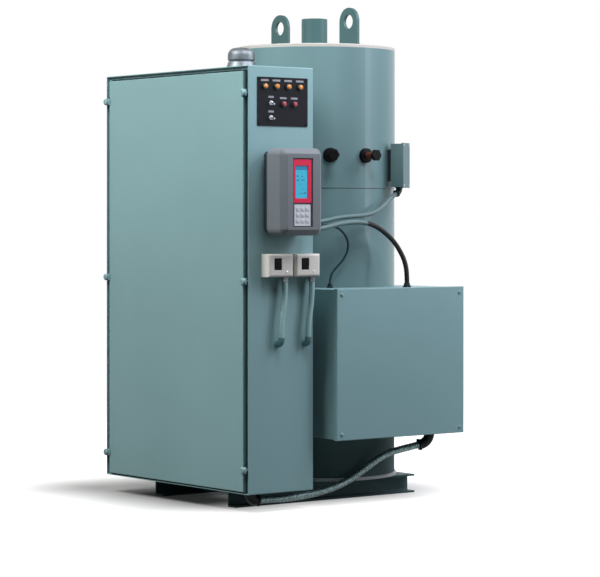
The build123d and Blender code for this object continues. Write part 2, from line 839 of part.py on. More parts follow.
# Supply conduit: an elbow under the housing, a sagging run to the floor, an elbow up into the cabinet
housing_floor = element_middle - body_height / 2
supply_bend_part, supply_mouth, supply_way = elbow(
    beside_axis(element_front - supply_from_front, supply_from_axis, housing_floor),
    DOWN,
    supply_heading,
    supply_bend,
    supply_turn,
    supply_stub,
    supply_fitting_radius,
)
save(supply_bend_part, "supply_elbow")
entry_part, entry_mouth, entry_way = elbow(
    place((*supply_end, 0)), DOWN, BACK, entry_bend, 90, entry_stub, supply_fitting_radius
)
save(entry_part, "supply_entry_elbow")
tube(
    [
        supply_mouth,
        supply_mouth + supply_way * 48,
        place((-88, 722, 104)),
        place((-106, 672, 76)),
        place((-119, 615, 38)),
        place((-125, 545, 1)),
        place((-125, 450, -24)),
        place((-120, 335, -37)),
        place((-110, 240, -38)),
        entry_mouth + entry_way * 56,
        entry_mouth,
    ],
    supply_radius,
    "supply_conduit",
)
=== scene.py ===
"""Looks of a vertical electric boiler on a skid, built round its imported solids."""
import math

import bmesh
import bpy
from mathutils import Matrix, Vector


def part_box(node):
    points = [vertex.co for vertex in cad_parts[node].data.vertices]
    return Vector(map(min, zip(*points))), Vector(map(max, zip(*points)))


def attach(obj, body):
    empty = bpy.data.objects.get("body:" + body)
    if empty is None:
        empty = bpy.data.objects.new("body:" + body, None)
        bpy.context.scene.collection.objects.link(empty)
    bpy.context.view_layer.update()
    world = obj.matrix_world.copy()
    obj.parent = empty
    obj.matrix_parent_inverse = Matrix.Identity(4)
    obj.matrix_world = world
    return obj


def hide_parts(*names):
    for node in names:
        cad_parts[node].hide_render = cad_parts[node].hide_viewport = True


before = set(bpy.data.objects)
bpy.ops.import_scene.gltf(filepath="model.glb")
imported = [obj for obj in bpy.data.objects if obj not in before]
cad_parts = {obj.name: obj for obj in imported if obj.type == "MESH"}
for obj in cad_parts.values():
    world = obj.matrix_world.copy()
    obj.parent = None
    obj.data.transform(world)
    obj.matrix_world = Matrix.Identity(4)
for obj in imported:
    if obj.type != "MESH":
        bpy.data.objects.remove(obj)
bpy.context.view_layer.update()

# Camera
# A level view from the front right through a long lens, with the frame shifted down so that
# upright edges stay upright.
camera_data = bpy.data.cameras.new("camera")
camera_data.sensor_width = 36.0
camera_data.lens = 146.76
camera_data.shift_y = -0.1155
camera = bpy.data.objects.new("camera", camera_data)
camera.location = (7.3645, -5.623, 1.048)
camera.rotation_euler = (math.radians(90), 0, math.radians(52.34))
bpy.context.scene.collection.objects.link(camera)
bpy.context.scene.camera = camera
bpy.context.scene.view_settings.view_transform = "Standard"


# Studio
# A white sweep that glows white except in a box round the skid, set off to its left and back, where it is
# painted darker and also shows the lamps' own shadows. Soft boxes over the front, the back and the roof,
# a fill on the left, and an upright strip box to the back right, whose reflection is the pale band down
# the vessel.
class Amount:
    """A number that varies over a surface. Arithmetic on it adds Math nodes."""

    def __init__(self, graph, socket):
        self.graph = graph
        self.socket = socket

    def math(self, operation, first, second):
        made = self.graph.node("ShaderNodeMath", {"operation": operation}, {0: first, 1: second})
        return Amount(self.graph, made.outputs[0])

    def __add__(self, other):
        return self.math("ADD", self, other)

    def __mul__(self, other):
        return self.math("MULTIPLY", self, other)

    def __truediv__(self, other):
        return self.math("DIVIDE", self, other)

    def __lt__(self, other):
        return self.math("LESS_THAN", self, other)

    def __gt__(self, other):
        return self.math("GREATER_THAN", self, other)

    def sine(self):
        return self.math("SINE", self, 0.0)

    def ramp(self, low, high):
        """0 below low, 1 above high, and smooth between them."""
        settings = {"interpolation_type": "SMOOTHSTEP"}
        made = self.graph.node("ShaderNodeMapRange", settings, {0: self, 1: low, 2: high})
        return Amount(self.graph, made.outputs[0])


class Graph:
    """A node tree, filled by one method."""

    def __init__(self, tree):
        self.tree = tree

    def node(self, kind, settings=None, sockets=None):
        made = self.tree.nodes.new(kind)
        for name, value in (settings or {}).items():
            setattr(made, name, value)
        for key, value in (sockets or {}).items():
            self.feed(made.inputs[key], value)
        return made

    def feed(self, socket, value):
        if isinstance(value, Amount):
            value = value.socket
        if isinstance(value, bpy.types.Node):
            value = value.outputs[0]
        if isinstance(value, bpy.types.NodeSocket):
            self.tree.links.new(value, socket)
        else:
            socket.default_value = value


def shown_rays(graph):
    """1 for rays that show the studio itself: straight to the camera, by gloss or through glass."""
    path = graph.node("ShaderNodeLightPath")
    seen, gloss, through = (
        Amount(graph, path.outputs[name])
        for name in ("Is Camera Ray", "Is Glossy Ray", "Is Transmission Ray")
    )
    return seen + gloss + through > 0.5


world = bpy.data.worlds.new("studio")
world.use_nodes = True
bpy.context.scene.world = world
sky = Graph(world.node_tree)
ambient = 0.02
sky_light = sky.tree.nodes["Background"]
sky_light.inputs["Color"].default_value = (1, 1, 1, 1)
sky.feed(sky_light.inputs["Strength"], shown_rays(sky) * (1 - ambient) + ambient)

floor_size = 40.0
floor_mesh = bpy.data.meshes.new("studio_floor")
floor_sides = ((-1, -1), (1, -1), (1, 1), (-1, 1))
floor_corners = [(x * floor_size / 2, y * floor_size / 2, 0) for x, y in floor_sides]
floor_mesh.from_pydata(floor_corners, [], [(0, 1, 2, 3)])
floor = bpy.data.objects.new("studio_floor", floor_mesh)
bpy.context.scene.collection.objects.link(floor)
floor_finish = bpy.data.materials.new("studio_floor")
floor_finish.use_nodes = True
floor_graph = Graph(floor_finish.node_tree)
floor_shader = floor_graph.tree.nodes["Principled BSDF"]
floor_seen = shown_rays(floor_graph)
floor_place = floor_graph.node("ShaderNodeTexCoord").outputs["Object"]
# Painted shadow: inside this box the floor loses its glow and shows at a low albedo, so it reads darker
# than the sweep beyond, partly from the lamps' real shadows and partly painted.
shade_centre = (-0.34, -0.02, 0.0)
shade_half = (0.30, 0.36, 0.0)
shade_fade = 0.58
shade_glow = 0.02
origin = (0, 0, 0)
shade_steps = (
    ("SUBTRACT", shade_centre),
    ("ABSOLUTE", origin),
    ("SUBTRACT", shade_half),
    ("MAXIMUM", origin),
    ("LENGTH", origin),
)
for operation, other in shade_steps:
    sockets = {0: floor_place, 1: other}
    floor_place = floor_graph.node("ShaderNodeVectorMath", {"operation": operation}, sockets)
floor_far = Amount(floor_graph, floor_place.outputs["Value"]).ramp(0.0, shade_fade)
floor_glow = floor_far * (1 - shade_glow) + shade_glow
floor_colours = (
    ("Base Color", floor_seen, (0.12, 0.13, 0.13, 1), (0.42, 0.42, 0.41, 1)),
    ("Emission Color", floor_seen * floor_glow, (0, 0, 0, 1), (1, 1, 1, 1)),
)
for socket, share, first, second in floor_colours:
    shade = floor_graph.node("ShaderNodeMix", {"data_type": "RGBA"}, {0: share, 6: first, 7: second})
    floor_graph.feed(floor_shader.inputs[socket], shade.outputs[2])
floor_shader.inputs["Emission Strength"].default_value = 1.0
floor_shader.inputs["Roughness"].default_value = 0.9
floor_shader.inputs["Specular IOR Level"].default_value = 0.0
floor.data.materials.append(floor_finish)


def soft_box(name, place, target, width, height, power, tone=(1.0, 1.0, 1.0)):
    """A rectangular lamp turned to a target, its sides in metres and its power in watts."""
    lamp = bpy.data.lights.new(name, "AREA")
    lamp.shape = "RECTANGLE"
    lamp.size, lamp.size_y = width, height
    lamp.energy = power
    lamp.color = tone
    box = bpy.data.objects.new(name, lamp)
    box.location = place
    box.rotation_euler = (Vector(target) - Vector(place)).to_track_quat("-Z", "Y").to_euler()
    bpy.context.scene.collection.objects.link(box)


cool = (0.98, 0.98, 1.08)
soft_box("front_box", (-0.3, -3.0, 3.3), (0.0, -0.4, 1.1), 1.6, 1.6, 98)
soft_box("key_box", (0.5, -2.4, 3.2), (0.0, -0.4, 1.2), 1.4, 1.4, 42)
soft_box("back_box", (2.0, 1.9, 3.2), (0.2, 0.0, 1.1), 1.6, 2.0, 96, cool)
soft_box("roof_box", (1.4, -0.3, 2.8), (0.3, -0.1, 1.2), 0.8, 0.8, 27, cool)
soft_box("strip_box", (2.2, 2.15, 1.65), (-0.06, 0.18, 1.5), 0.4, 1.5, 17, cool)
soft_box("fill_box", (-3.0, 1.4, 2.0), (-0.2, 0.0, 0.9), 1.6, 1.6, 48)


# Skid
# Two hot-rolled channels under the cabinet and the vessel, with channel cross members welded
# between them, brushed with a dark green enamel that is scuffed and dusty low down.
def srgb(red, green, blue):
    """Linear colour from the everyday 0 to 255 values."""
    shares = [value / 255 for value in (red, green, blue)]
    return tuple(s / 12.92 if s <= 0.04045 else ((s + 0.055) / 1.055) ** 2.4 for s in shares)


def tint(colour, factor):
    """A colour made darker or lighter."""
    return tuple(value * factor for value in colour)


class Finish(Graph):
    """A surface: constants on its shader, patterns in object space through its nodes."""

    def __init__(self, name, colour, roughness, **constants):
        self.material = bpy.data.materials.new(name)
        self.material.use_nodes = True
        super().__init__(self.material.node_tree)
        self.shader = self.tree.nodes["Principled BSDF"]
        self.shader.inputs["Base Color"].default_value = (*colour, 1)
        self.shader.inputs["Roughness"].default_value = roughness
        for socket, value in constants.items():
            self.shader.inputs[socket.replace("_", " ")].default_value = value
        self.place = self.node("ShaderNodeTexCoord").outputs["Object"]

    def noise(self, scale, detail=2.0, stretch=(1, 1, 1)):
        spread = self.node("ShaderNodeMapping", None, {"Vector": self.place, "Scale": stretch})
        sockets = {"Vector": spread, "Scale": scale, "Detail": detail}
        return Amount(self, self.node("ShaderNodeTexNoise", None, sockets).outputs[0])

    def axis(self, index):
        """Distance along X, Y or Z in the shared frame."""
        return Amount(self, self.node("ShaderNodeSeparateXYZ", None, {0: self.place}).outputs[index])

    def blend(self, share, first, second):
        """The mix of two colours, each a colour or another mix."""
        sockets = {0: share}
        for key, end in ((6, first), (7, second)):
            sockets[key] = end if isinstance(end, bpy.types.NodeSocket) else (*end, 1)
        return self.node("ShaderNodeMix", {"data_type": "RGBA"}, sockets).outputs[2]

    def paint(self, colour):
        self.feed(self.shader.inputs["Base Color"], colour)
        return self

    def rough(self, amount):
        self.feed(self.shader.inputs["Roughness"], amount)
        return self

    def relief(self, height, depth, rounding=0.0):
        """Bump of a depth in metres, over edges that catch light as if rounded."""
        sockets = {"Height": height, "Distance": depth, "Strength": 1.0}
        if rounding:
            sockets["Normal"] = self.node("ShaderNodeBevel", {"samples": 4}, {"Radius": rounding})
        self.feed(self.shader.inputs["Normal"], self.node("ShaderNodeBump", None, sockets))
        return self


def enamel(name, colour, roughness, peel=0.00006, rounding=0.0012, gloss=0.18):
    """Sprayed enamel: faint clouds of thickness, handling smudges and orange peel."""
    made = Finish(name, colour, roughness, Specular_IOR_Level=gloss)
    clouds = made.noise(1.7, 3.0).ramp(0.25, 0.75)
    made.paint(made.blend(clouds, tint(colour, 0.95), tint(colour, 1.05)))
    made.rough(made.noise(9.0, 4.0) * 0.14 + (roughness - 0.07))
    return made.relief(made.noise(380.0, 1.0), peel, rounding)


def dress(made, *names):
    """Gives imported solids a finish."""
    for name in names:
        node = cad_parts[name]
        node.data.materials.clear()
        node.data.materials.append(made.material)


skid_colour = srgb(56, 86, 90)
skid_black = enamel("skid_black", skid_colour, 0.50, peel=0.0002)
scuffs = skid_black.noise(46.0, 6.0, (1, 0.25, 1)).ramp(0.62, 0.72)
skid_dust = skid_black.axis(2).ramp(0.05, 0.0) * 0.4
worn = skid_black.blend(scuffs * 0.3, skid_colour, srgb(86, 95, 95))
skid_black.paint(skid_black.blend(skid_dust, worn, srgb(58, 66, 66)))
dress(skid_black, "skid_rail_left", "skid_rail_right", "cross_members")

# Cabinet
# A folded sheet-steel enclosure in blue-green enamel. A collar stands round its front, and the cover
# closes inside that collar on a lip, with a trough between the two and a rubber seal under its rim,
# whose dark teal is partly painted shade for the trough.
teal = srgb(126, 160, 162)
teal_enamel = enamel("teal_enamel", teal, 0.40)
dress(teal_enamel, "cabinet_body", "cabinet_cover")


class Maker(Graph):
    """A Geometry Nodes tree with named sizes, run on a guide and kept as a plain mesh."""

    def __init__(self, name, **sizes):
        super().__init__(bpy.data.node_groups.new(name, "GeometryNodeTree"))
        rim = self.tree.interface
        rim.new_socket("Guide", in_out="INPUT", socket_type="NodeSocketGeometry")
        rim.new_socket("Made", in_out="OUTPUT", socket_type="NodeSocketGeometry")
        self.keys = {}
        for size, kind in sizes.items():
            self.keys[size] = rim.new_socket(size, in_out="INPUT", socket_type=kind).identifier
        self.given = self.node("NodeGroupInput").outputs

    def size(self, name):
        return Amount(self, self.given[name])

    def close(self, geometry):
        plain = self.node("GeometryNodeRealizeInstances", None, {0: geometry})
        painted = self.node("GeometryNodeSetMaterial", None, {0: plain, 2: self.given["finish"]})
        self.node("NodeGroupOutput", None, {0: painted})

    def run(self, name, guide, **sizes):
        holder = bpy.data.objects.new(name + "_guide", guide)
        bpy.context.scene.collection.objects.link(holder)
        modifier = holder.modifiers.new("maker", "NODES")
        modifier.node_group = self.tree
        for size, value in sizes.items():
            modifier[self.keys[size]] = value
        graph = bpy.context.evaluated_depsgraph_get()
        mesh = bpy.data.meshes.new_from_object(holder.evaluated_get(graph))
        bpy.data.objects.remove(holder)
        return mesh


def fix(name, mesh, *nodes):
    """Adds a finished mesh to the boiler, in place of CAD nodes where it stands for them."""
    piece = bpy.data.objects.new(name, mesh)
    bpy.context.scene.collection.objects.link(piece)
    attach(piece, "root")
    if nodes:
        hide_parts(*nodes)
    return piece


bead = Maker(
    "bead",
    radius="NodeSocketFloat",
    ripple="NodeSocketFloat",
    pitch="NodeSocketFloat",
    finish="NodeSocketMaterial",
)
bead_line = bead.node("GeometryNodeMeshToCurve", None, {0: bead.given["Guide"]})
bead_steps = bead.node(
    "GeometryNodeResampleCurve",
    {"mode": "LENGTH"},
    {"Curve": bead_line, "Length": bead.size("pitch") * 0.25},
)
bead_way = Amount(bead, bead.node("GeometryNodeSplineParameter").outputs["Length"])
bead_wave = (bead_way * math.tau / bead.size("pitch")).sine()
bead_round = bead.node(
    "GeometryNodeCurvePrimitiveCircle", None, {"Resolution": 10, "Radius": bead.size("radius")}
)
bead_tube = bead.node(
    "GeometryNodeCurveToMesh",
    None,
    {
        "Curve": bead_steps,
        "Profile Curve": bead_round,
        "Scale": bead_wave * bead.size("ripple") + 1.0,
        "Fill Caps": True,
    },
)
bead.close(bead.node("GeometryNodeSetShadeSmooth", None, {0: bead_tube}))


def outline(*loops):
    """A guide of straight edges: each loop is a list of points and whether it closes."""
    points, edges = [], []
    for loop, closed in loops:
        first = len(points)
        points += loop
        edges += [(first + step, first + step + 1) for step in range(len(loop) - 1)]
        if closed:
            edges.append((first + len(loop) - 1, first))
    guide = bpy.data.meshes.new("guide")
    guide.from_pydata(points, edges, [])
    return guide


cover_low, cover_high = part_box("cabinet_cover")
cabinet_low, cabinet_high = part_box("cabinet_body")
# Partly painted shade: a rubber seal round the cover, its dark teal also standing in for the shade in the
# trough.
seal_black = Finish("seal_black", srgb(28, 42, 43), 0.75, Specular_IOR_Level=0.1)
seal_black.paint(seal_black.blend(seal_black.noise(40.0, 4.0), srgb(24, 37, 38), srgb(36, 52, 53)))
seal_black.relief(seal_black.noise(900.0, 2.0), 0.0001)
seal_radius = 0.003
seal_y = cover_high[1] - seal_radius
seal_loop = [
    (cover_low[0] - seal_radius, seal_y, cover_low[2] - seal_radius),
    (cover_high[0] + seal_radius, seal_y, cover_low[2] - seal_radius),
    (cover_high[0] + seal_radius, seal_y, cover_high[2] + seal_radius),
    (cover_low[0] - seal_radius, seal_y, cover_high[2] + seal_radius),
]
seal_mesh = bead.run(
    "cover_seal",
    outline((seal_loop, True)),
    radius=seal_radius,
    ripple=0.0,
    pitch=0.04,
    finish=seal_black.material,
)
fix("cover_seal", seal_mesh)


# Cover clamps
# Six screw clamps along the cover's upright edges. A finger reaches over the cover, drawn down by a
# domed knob on a stud that stands in the trough, all in the cabinet's enamel.
def turned(profile, steps=32):
    """A closed form turned about Z from (radius, height) pairs in mm, the first and last on the axis."""
    form = bmesh.new()
    rings = []
    for radius, height in profile:
        angles = [math.tau * step / steps for step in range(steps if radius else 1)]
        rings.append(
            [
                form.verts.new((radius * math.cos(a) / 1000, radius * math.sin(a) / 1000, height / 1000))
                for a in angles
            ]
        )
    for low, high in zip(rings, rings[1:]):
        for here in range(steps):
            there = (here + 1) % steps
            corners = [low[step % len(low)] for step in (here, there)]
            corners += [high[step % len(high)] for step in (there, here)]
            form.faces.new(dict.fromkeys(corners))
    bmesh.ops.recalc_face_normals(form, faces=form.faces)
    return form


def block(width, depth, height, round_off, segments=2):
    """A box in mm, centred, with all its edges rounded."""
    form = bmesh.new()
    bmesh.ops.create_cube(form, size=0.001)
    bmesh.ops.scale(form, vec=(width, depth, height), verts=form.verts)
    bmesh.ops.bevel(
        form, geom=form.edges, offset=round_off / 1000, segments=segments, profile=0.5, affect="EDGES"
    )
    return form


def facing(place, out, up=(0, 0, 1)):
    """A turn and move that takes Z to the outward direction and Y near to up."""
    out = Vector(out).normalized()
    side = Vector(up).cross(out).normalized()
    turn = Matrix((side, out.cross(side), out)).transposed().to_4x4()
    return Matrix.Translation(place) @ turn


def joined(name, finish, *forms, smooth=35):
    """One mesh from several forms, each with the place it goes to."""
    whole = bmesh.new()
    for form, place in forms:
        loose = bpy.data.meshes.new("loose")
        form.to_mesh(loose)
        loose.transform(place)
        whole.from_mesh(loose)
        bpy.data.meshes.remove(loose)
    mesh = bpy.data.meshes.new(name)
    whole.to_mesh(mesh)
    mesh.shade_smooth()
    mesh.set_sharp_from_angle(angle=math.radians(smooth))
    mesh.materials.append(finish.material)
    return mesh


stamp = Maker("stamp", form="NodeSocketObject", finish="NodeSocketMaterial")
stamp_form = stamp.node(
    "GeometryNodeObjectInfo", {"transform_space": "ORIGINAL"}, {0: stamp.given["form"]}
)
stamp_out = stamp.node(
    "GeometryNodeInputNamedAttribute", {"data_type": "FLOAT_VECTOR"}, {"Name": "out"}
)
stamp_face = stamp.node("FunctionNodeAlignRotationToVector", {"axis": "Z"}, {"Vector": stamp_out})
stamp_angle = stamp.node(
    "FunctionNodeRandomValue", {"data_type": "FLOAT"}, {2: 0.0, 3: math.tau, "Seed": 11}
)
stamp_roll = stamp.node(
    "FunctionNodeAxisAngleToRotation", None, {"Axis": (0, 0, 1), "Angle": stamp_angle.outputs[1]}
)
stamp_turn = stamp.node(
    "FunctionNodeRotateRotation", {"rotation_space": "LOCAL"}, {0: stamp_face, 1: stamp_roll}
)
stamp.close(
    stamp.node(
        "GeometryNodeInstanceOnPoints",
        None,
        {
            "Points": stamp.given["Guide"],
            "Instance": stamp_form.outputs["Geometry"],
            "Rotation": stamp_turn,
        },
    )
)


def stamped(name, finish, form, spots):
    """Copies of a form at spots, each a place and the direction it faces, turned at random."""
    guide = bpy.data.meshes.new("spots")
    guide.from_pydata([place for place, out in spots], [], [])
    ways = guide.attributes.new("out", "FLOAT_VECTOR", "POINT")
    for way, (place, out) in zip(ways.data, spots):
        way.vector = out
    master = bpy.data.objects.new("master", joined(name, finish, (form, Matrix())))
    bpy.context.scene.collection.objects.link(master)
    mesh = stamp.run(name, guide, form=master, finish=finish.material)
    bpy.data.objects.remove(master)
    return mesh


trough = cabinet_high[0] - cover_high[0]
collar_thick = 0.003
clamp_face = cover_low[1]
clamp_heights = [cabinet_low[2] + up for up in (0.087, 0.757, 1.427)]
forward = (0, -1, 0)
knob_profile = [(0, 0), (12.2, 0), (13, 0.8), (13, 4.2), (12.4, 5.6), (10.6, 7.6), (7.6, 9.2)]
knob_profile += [(4.6, 9.9), (4.3, 8.6), (0, 8.6)]
stud_length = 19
stud_profile = [(0, 0), (5, 0), (5, stud_length), (0, stud_length)]
finger_thick = 5
finger_shift = 0.004
for hand, edge, node in (
    (-1, cabinet_low[0], "cover_clamps_left"),
    (1, cabinet_high[0], "cover_clamps_right"),
):
    stud_x = edge - hand * (trough + collar_thick) / 2
    finger_x = stud_x - hand * finger_shift
    forms = []
    for height in clamp_heights:
        knob_place = facing((stud_x, clamp_face - finger_thick / 1000, height), forward)
        stud_place = facing((stud_x, clamp_face + stud_length / 1000, height), forward)
        finger_place = Matrix.Translation((finger_x, clamp_face - finger_thick / 2000, height))
        forms.append((turned(knob_profile), knob_place))
        forms.append((turned(stud_profile, 16), stud_place))
        forms.append((block(30, finger_thick, 24, 1.6, 3), finger_place))
    fix(node.replace("cover_", "") + "_turned", joined(node, teal_enamel, *forms), node)

# Supply hub
# A cast conduit hub with a flared foot and a domed blanking cap screwed down on it, left in bare
# zinc that has gone dull.
zinc_colour = srgb(100, 107, 111)
zinc = Finish("zinc", zinc_colour, 0.42, Metallic=0.85)
zinc_clouds = zinc.noise(38.0, 5.0).ramp(0.3, 0.7)
zinc.paint(zinc.blend(zinc_clouds, tint(zinc_colour, 0.82), tint(zinc_colour, 1.08)))
zinc.rough(zinc.noise(90.0, 3.0) * 0.2 + 0.34)
zinc.relief(zinc.noise(420.0, 3.0), 0.00012, 0.001)
hub_low, hub_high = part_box("supply_hub")
hub_middle = ((hub_low[0] + hub_high[0]) / 2, (hub_low[1] + hub_high[1]) / 2, hub_low[2])
hub_profile = [(0, 0), (58, 0), (58, 2.5), (57, 4), (53.6, 13), (51, 22), (50, 27), (48, 29.6)]
hub_profile += [(44.5, 30.5), (44.5, 33.2), (48.4, 34.2), (50, 36.4), (50, 53), (48.8, 61)]
hub_profile += [(45.6, 68.5), (40, 74.6), (31.5, 79.2), (20, 81.4), (8, 82), (0, 82)]
hub_form = turned(hub_profile, 64)
hub_place = Matrix.Translation(hub_middle)
fix("hub_turned", joined("hub", zinc, (hub_form, hub_place), smooth=30), "supply_hub", "supply_hub_cap")

# Vessel
# A steel vessel in an insulated sheet jacket of two courses, sprayed in upright passes, with painted
# shade that darkens it steeply towards the foot. The upper course laps over the lower one, and both close
# at the back in an upright lap held by sheet-metal screws.
jacket_enamel = enamel("jacket_enamel", tint(teal, 0.62), 0.24, gloss=0.15)
passes = jacket_enamel.noise(7.0, 2.0, (1, 1, 0.02)).ramp(0.3, 0.7)
sprayed = jacket_enamel.blend(passes, tint(teal, 0.58), tint(teal, 0.68))
# Painted shade: the jacket darkens towards its foot, standing in for the shadow under the element
# housing; the same share also roughens it.
foot_shade = jacket_enamel.axis(2).ramp(0.75, 0.12) * 0.58
jacket_enamel.paint(jacket_enamel.blend(foot_shade, sprayed, tint(teal, 0.16)))
jacket_enamel.rough(jacket_enamel.noise(9.0, 4.0) * 0.14 + foot_shade * 0.8 + 0.17)
dress(jacket_enamel, "jacket_lower", "jacket_upper")
pale_plate = enamel("pale_plate", srgb(178, 176, 170), 0.45)
dress(pale_plate, "vessel_top_plate")
# Painted light: the base plate gets a paler copy of the plate enamel, lifting its shaded rim to look lit.
foot_pale = enamel("foot_pale", srgb(226, 226, 228), 0.45)
dress(foot_pale, "vessel_base_plate")
jacket_low, jacket_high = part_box("jacket_lower")
upper_low, upper_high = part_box("jacket_upper")
axis_x = (jacket_low[0] + jacket_high[0]) / 2
axis_y = (jacket_low[1] + jacket_high[1]) / 2
jacket_radius = (jacket_high[0] - jacket_low[0]) / 2
upper_radius = (upper_high[0] - upper_low[0]) / 2
plate_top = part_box("vessel_top_plate")[1][2]


def round_axis(angle, reach, height):
    """A point at an angle from +X round the vessel's axis."""
    turn = math.radians(angle)
    return Vector((axis_x + reach * math.cos(turn), axis_y + reach * math.sin(turn), height))


def outward(angle):
    """The level direction at an angle from +X round the vessel's axis."""
    return round_axis(angle, 1, 0) - round_axis(angle, 0, 0)


def ring(reach, height, steps=96):
    """Points round the vessel's axis."""
    return [round_axis(360 * step / steps, reach, height) for step in range(steps)]


# Partly painted shade: a thin rippled bead at the joint of the two courses, dark as the shadow line under
# the upper course's lap.
seam_dark = Finish("seam_dark", srgb(52, 76, 79), 0.6)
seam_dark.paint(seam_dark.blend(seam_dark.noise(60.0, 4.0), srgb(44, 66, 69), srgb(64, 90, 93)))
seam_lift = 0.0004
seam_drop = 0.0006
seam_mesh = bead.run(
    "jacket_seam",
    outline((ring(jacket_radius + seam_lift, jacket_high[2] - seam_drop), True)),
    radius=0.0009,
    ripple=0.15,
    pitch=0.02,
    finish=seam_dark.material,
)
fix("jacket_seam", seam_mesh)

lap_angle = 128.0
lap_half = 3.4
lap_thick = 0.0012
lap_tuck = 0.0004
lap_steps = 8
lap_plate_gap = 0.006
lap_seam_gap = 0.002
lap = bmesh.new()
for reach, low, high in (
    (jacket_radius, jacket_low[2] + lap_plate_gap, jacket_high[2] - lap_seam_gap),
    (upper_radius, upper_low[2] + lap_seam_gap, upper_high[2] - lap_plate_gap),
):
    columns = []
    for step in range(lap_steps + 1):
        angle = lap_angle - lap_half + 2 * lap_half * step / lap_steps
        raised = lap_thick if 0 < step < lap_steps else -lap_tuck
        columns.append([lap.verts.new(round_axis(angle, reach + raised, z)) for z in (low, high)])
    for here, there in zip(columns, columns[1:]):
        lap.faces.new((here[0], there[0], there[1], here[1]))
fix("back_lap", joined("back_lap", jacket_enamel, (lap, Matrix()), smooth=20))
screw_profile = [(0, 0), (4.6, 0), (4.6, 0.6), (3.4, 0.9), (3.3, 1.9), (2.6, 2.5)]
screw_profile += [(1.2, 2.7), (1.0, 1.9), (0, 1.9)]
screw_zinc = Finish("screw_zinc", srgb(172, 176, 178), 0.35, Metallic=0.9)
screw_zinc.rough(screw_zinc.noise(300.0, 3.0) * 0.25 + 0.25)
lap_screw_end = 0.04
lap_spots = []
for reach, low, high, count in (
    (jacket_radius, jacket_low[2], jacket_high[2], 11),
    (upper_radius, upper_low[2], upper_high[2], 6),
):
    for step in range(count):
        height = low + lap_screw_end + (high - low - 2 * lap_screw_end) * step / (count - 1)
        lap_spots.append((round_axis(lap_angle, reach + lap_thick, height), outward(lap_angle)))
fix("back_lap_screws", stamped("back_lap_screws", screw_zinc, turned(screw_profile, 12), lap_spots))

# Lifting lugs
# Two eye plates burned from flat bar and welded upright on the top plate, like the outlet nozzle
# between them, with a rippled bead down each side.
lug_green = enamel("lug_green", srgb(64, 94, 94), 0.36, rounding=0.002)
dress(lug_green, "lifting_lug_left", "lifting_lug_right", "outlet_nozzle")
nozzle_weld_reach = 0.0512
weld_z = plate_top + 0.0008
weld_gap = 0.0006
weld_loops = [(ring(nozzle_weld_reach, weld_z, 64), True)]
for node in ("lifting_lug_left", "lifting_lug_right"):
    low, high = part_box(node)
    for y in (low[1] - weld_gap, high[1] + weld_gap):
        weld_loops.append(([(low[0], y, weld_z), (high[0], y, weld_z)], False))
weld_mesh = bead.run(
    "top_welds",
    outline(*weld_loops),
    radius=0.0042,
    ripple=0.14,
    pitch=0.0065,
    finish=lug_green.material,
)
fix("top_welds", weld_mesh)

# Level probes
# Screwed probe fittings on the upper course: a black flanged bush on the jacket, a rusty threaded
# nipple and a black hexagon head.
probe_black = Finish("probe_black", srgb(12, 12, 13), 0.42, Specular_IOR_Level=0.07)
probe_black.rough(probe_black.noise(120.0, 4.0) * 0.25 + 0.32)
probe_black.relief(probe_black.noise(500.0, 3.0), 0.00015, 0.001)
nipple_rust = Finish("nipple_rust", srgb(84, 38, 30), 0.55, Metallic=0.3)
nipple_rust.paint(nipple_rust.blend(nipple_rust.noise(150.0, 5.0), srgb(62, 24, 20), srgb(118, 58, 44)))
nipple_rust.relief(nipple_rust.noise(600.0, 4.0), 0.0002)


def thread(core, crest, start, pitch, rise, turns):
    """The zigzag of a screw thread, to go in a turned profile."""
    zigzag = []
    for turn in range(turns):
        zigzag += [(core, start + pitch * turn), (crest, start + rise + pitch * turn)]
    return zigzag


bush_profile = [(0, -2), (27.5, -2), (27.5, 11), (26.4, 13.2), (24.4, 14), (0, 14)]
head_profile = [(0, 57), (12, 57), (19.5, 57.6), (23, 60), (23, 69.4), (19.5, 72), (0, 72)]
nipple_thread = thread(12.0, 13.0, start=14, pitch=3.6, rise=1.8, turns=12)
nipple_profile = [(0, 13), *nipple_thread, (12.0, 57.2), (0, 57.2)]
probe_height = 1.287
bodies, nipples = [], []
for angle in (-27.0, 0.0):
    seat = facing(round_axis(angle, upper_radius, probe_height), outward(angle))
    bodies += [(turned(bush_profile, 40), seat), (turned(head_profile, 6), seat)]
    nipples.append((turned(nipple_profile, 24), seat))
probe_nodes = ("level_probe_front", "level_probe_side")
fix("probe_bodies", joined("probe_bodies", probe_black, *bodies), *probe_nodes)
fix("probe_nipples", joined("probe_nipples", nipple_rust, *nipples, smooth=80))

# Junction box
# A small sheet box on a bracket, with a flanged cover held by four screws, fed from below by a bent
# conduit fitting with a locknut at each end.
junction_enamel = enamel("junction_enamel", tint(teal, 0.55), 0.4)
dress(junction_enamel, "junction_box", "junction_cover")
# Painted shade: the bracket is near black, standing in for the shadow in the gap between the box and the
# jacket.
bracket_dark = enamel("bracket_dark", srgb(30, 43, 44), 0.5)
dress(bracket_dark, "junction_bracket")
fitting_dark = enamel("fitting_dark", srgb(30, 46, 48), 0.42, rounding=0.0015)
dress(fitting_dark, "junction_elbow", "cabinet_glands", "element_glands")
junction_angle = 29.0
junction_reach = 0.070
junction_height = 1.252
junction_out = outward(junction_angle)
junction_across = junction_out.cross(Vector((0, 0, 1)))
junction_face = round_axis(junction_angle, upper_radius + junction_reach, junction_height)
junction_spots = [
    (junction_face + junction_across * x + Vector((0, 0, z)), junction_out)
    for x in (-0.026, 0.026)
    for z in (-0.076, 0.076)
]
fix("junction_screws", stamped("junction_screws", screw_zinc, turned(screw_profile, 12), junction_spots))

side_x, collar_y, cabinet_floor = cabinet_high[0], cabinet_low[1], cabinet_low[2]


